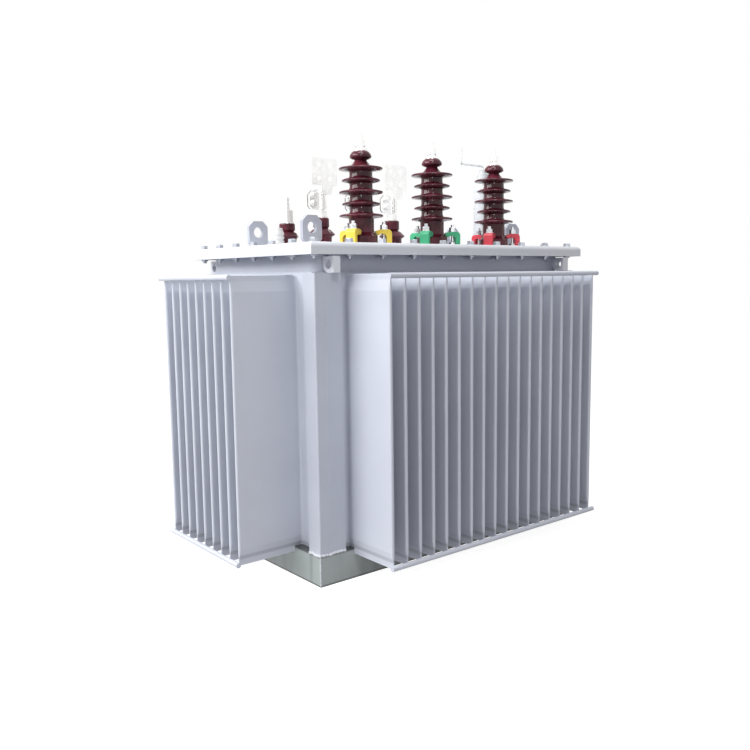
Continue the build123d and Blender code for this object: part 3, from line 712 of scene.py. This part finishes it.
# Where the posts stand on the base
baseSeam = {"Bead Radius": 0.0032, "Point Spacing": 0.0020, "Swell": 0.24, "Swell Length": 0.0110, "Wander": 0.0060}
postNames = [f"corner_post_{end}_{side}" for end in ("front", "back") for side in ("left", "right")]


def postFeet(names):
    paths = []
    for name in names:
        low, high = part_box(name)
        outerX, innerX = (low.x, high.x) if low.x < 0 else (high.x, low.x)
        outerY, innerY = (low.y, high.y) if low.y < 0 else (high.y, low.y)
        paths.append([(innerX, outerY, low.z), (outerX, outerY, low.z), (outerX, innerY, low.z)])
    return paths


# The bead is painted in the cover's lighter enamel: a painted highlight along it
makeBead("baseSeamWelds", baseSeam, "coverEnamelPaintedLight", "tank_paint", postFeet(postNames))

# The base's corners are welded upright, ground to a thin line, and painted in the cover's lighter enamel: a painted
# highlight down each corner
cornerSeam = {
    "bead": {"Bead Radius": 0.0014, "Point Spacing": 0.0050, "Swell": 0.20, "Swell Length": 0.0130, "Wander": 0.0006},
    "inset": 0.0014, "bottomGap": 0.002, "topGap": 0.003,
}


def baseCorners(look):
    low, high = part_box("tank_base")
    inset, bottom, top = look["inset"], low.z + look["bottomGap"], high.z - look["topGap"]
    return [[(x, y, bottom), (x, y, top)]
            for x in (low.x + inset, high.x - inset) for y in (low.y + inset, high.y - inset)]


makeBead("baseCornerWelds", cornerSeam["bead"], "coverEnamelPaintedLight", "tank_paint", baseCorners(cornerSeam))

# Each post is closed by an upright seam on its long face, ground nearly flush, with spatter beside it
postSeam = {
    "bead": {"Bead Radius": 0.0011, "Point Spacing": 0.0060, "Swell": 0.25, "Swell Length": 0.0200, "Wander": 0.0006},
    "inset": 0.032, "endGap": 0.008,
}


def postUprights(names, look):
    paths = []
    for name in names:
        low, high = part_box(name)
        x = low.x + look["inset"] if low.x < 0 else high.x - look["inset"]
        y = low.y if low.y < 0 else high.y
        paths.append([(x, y, low.z + look["endGap"]), (x, y, high.z - look["endGap"])])
    return paths


uprights = postUprights(postNames, postSeam)
makeBead("postSeamWelds", postSeam["bead"], "tankEnamel", "tank_paint", uprights)

weldSpatter = {
    "inputs": {"Speck Radius": 0.0016, "Point Spacing": 0.0260, "Scatter": 0.0160, "Share Kept": 0.45},
    "smallest": 0.5, "largest": 1.1, "seeds": {"kept": 11, "shift": 12, "growth": 13},
}


def makeSpatter(look, paths):
    seeds = look["seeds"]
    tree, given = startTree("weldSpatter", look["inputs"])
    line = addNode(tree, "GeometryNodeMeshToCurve", {}, {"Mesh": given["Geometry"]})
    dense = addNode(tree, "GeometryNodeResampleCurve", {"mode": "LENGTH"},
                    {"Curve": line.outputs[0], "Length": given["Point Spacing"]})
    spots = addNode(tree, "GeometryNodeCurveToPoints", {"mode": "EVALUATED"}, {"Curve": dense.outputs[0]})
    chance = addNode(tree, "FunctionNodeRandomValue", {"data_type": "FLOAT", "Seed": seeds["kept"]})
    dropped = addNode(tree, "ShaderNodeMath", {"operation": "GREATER_THAN"},
                      {0: chance.outputs[1], 1: given["Share Kept"]})
    few = addNode(tree, "GeometryNodeDeleteGeometry", {"domain": "POINT"},
                  {"Geometry": spots.outputs[0], "Selection": dropped.outputs[0]})
    shift = addNode(tree, "FunctionNodeRandomValue",
                    {"data_type": "FLOAT_VECTOR", "Seed": seeds["shift"], 0: (-1, 0, -1), 1: (1, 0, 1)})
    away = addNode(tree, "ShaderNodeVectorMath", {"operation": "SCALE"},
                   {0: shift.outputs[0], "Scale": given["Scatter"]})
    moved = addNode(tree, "GeometryNodeSetPosition", {}, {"Geometry": few.outputs[0], "Offset": away.outputs[0]})
    speck = addNode(tree, "GeometryNodeMeshIcoSphere", {"Subdivisions": 1}, {"Radius": given["Speck Radius"]})
    growth = addNode(tree, "FunctionNodeRandomValue",
                     {"data_type": "FLOAT", "Seed": seeds["growth"], 2: look["smallest"], 3: look["largest"]})
    placed = addNode(tree, "GeometryNodeInstanceOnPoints", {},
                     {"Points": moved.outputs[0], "Instance": speck.outputs[0], "Scale": growth.outputs[1]})
    endTree(tree, placed.outputs[0], "tankEnamel")
    makePiece("weldSpatter", tree, look["inputs"], "tank_paint", *joinPaths(paths))


makeSpatter(weldSpatter, uprights)

# A seam runs along the wall, level with the tops of the posts
wallSeam = {"Bead Radius": 0.0025, "Point Spacing": 0.0060, "Swell": 0.12, "Swell Length": 0.0240, "Wander": 0.0008}


def wallTop():
    wall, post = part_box("tank_shell")[1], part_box("corner_post_front_left")[1]
    paths = []
    for side in (-1, 1):
        paths.append([(post.x, side * wall.y, post.z), (-post.x, side * wall.y, post.z)])
        paths.append([(side * wall.x, post.y, post.z), (side * wall.x, -post.y, post.z)])
    return paths


makeBead("wallTopWelds", wallSeam, "tankEnamel", "tank_paint", wallTop())

# The pinched ends of the fins are closed by a bead along each top and bottom edge
finSeam = {
    "bead": {"Bead Radius": 0.0021, "Point Spacing": 0.0120, "Swell": 0.10, "Swell Length": 0.0300, "Wander": 0.0004},
    "pitch": 0.045, "frontCount": 18, "sideCount": 9, "rootInset": 0.012, "tipInset": 0.004, "topInset": 0.006,
}


def finEnds(look):
    root, tip, paths = look["rootInset"], look["tipInset"], []
    low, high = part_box("fin_wall_front")
    for index in range(look["frontCount"]):
        x = (index - (look["frontCount"] - 1) / 2) * look["pitch"]
        for z in (low.z, high.z - look["topInset"]):
            for side in (-1, 1):
                paths.append([(x, side * (-high.y + root), z), (x, side * (-low.y - tip), z)])
    low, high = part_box("fin_wall_left")
    for index in range(look["sideCount"]):
        y = (index - (look["sideCount"] - 1) / 2) * look["pitch"]
        for z in (low.z, high.z - look["topInset"]):
            for side in (-1, 1):
                paths.append([(side * (-high.x + root), y, z), (side * (-low.x - tip), y, z)])
    return paths


makeBead("finEndWelds", finSeam["bead"], "finEnamelPaintedLight", "tank_paint", finEnds(finSeam))
